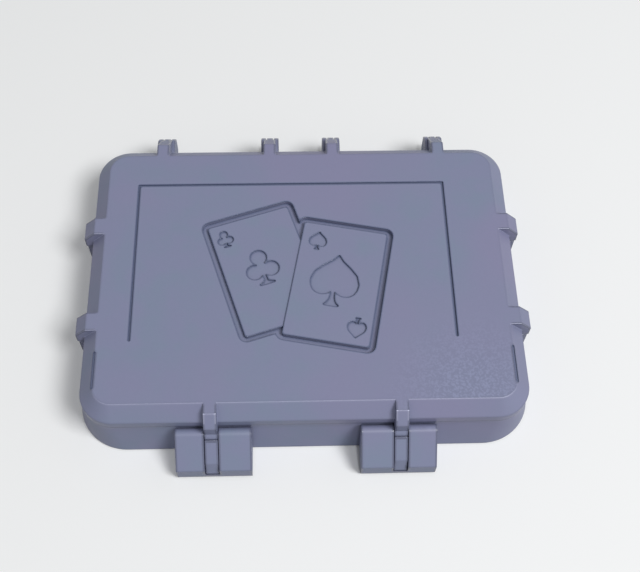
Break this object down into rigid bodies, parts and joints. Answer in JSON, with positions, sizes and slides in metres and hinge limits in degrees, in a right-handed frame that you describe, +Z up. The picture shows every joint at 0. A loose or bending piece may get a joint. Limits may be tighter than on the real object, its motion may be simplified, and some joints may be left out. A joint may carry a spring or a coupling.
{
  "type": "playing card case",
  "caption": "Flat hard case for playing cards with a rear-hinged lid, front latches that hook over the base, side ribs and a sunken fanned-card emblem.",
  "frame": {"origin": "centre of the flat underside of the base, level with the surface that the case rests on", "axes": "+X to the right along the long side, +Y to the hinges at the back, +Z up through the lid; the latches are at -Y"},
  "size_m": [0.141, 0.1191, 0.021],
  "materials": {
    "case_plastic": "satin, fine orange-peel texture",
    "pin_rod": "smooth satin rod"
  },
  "bodies": {
    "base": {"base_shell": "case_plastic", "deck_divider": "case_plastic", "hinge_pin_outer_left": "pin_rod", "hinge_pin_inner_left": "pin_rod", "hinge_pin_outer_right": "pin_rod", "hinge_pin_inner_right": "pin_rod", "catch_pin_left": "pin_rod", "catch_pin_right": "pin_rod"},
    "lid": {"lid_shell": "case_plastic", "latch_pivot_pin_left": "pin_rod", "latch_pivot_pin_right": "pin_rod"},
    "latch_left_body": {"latch_left": "case_plastic"},
    "latch_right_body": {"latch_right": "case_plastic"}
  },
  "joints": [
    {"name": "lid_hinge", "type": "hinge", "parent": "base", "child": "lid", "pos_m": [0, 0.0538, 0.008], "axis": [-1, 0, 0], "range_deg": [0, 105]},
    {"name": "latch_left_pivot", "type": "hinge", "parent": "lid", "child": "latch_left_body", "pos_m": [-0.0284, -0.0509, 0.0115], "axis": [-1, 0, 0], "range_deg": [0, 95]},
    {"name": "latch_right_pivot", "type": "hinge", "parent": "lid", "child": "latch_right_body", "pos_m": [0.0284, -0.0509, 0.0115], "axis": [-1, 0, 0], "range_deg": [0, 95]}
  ]
}
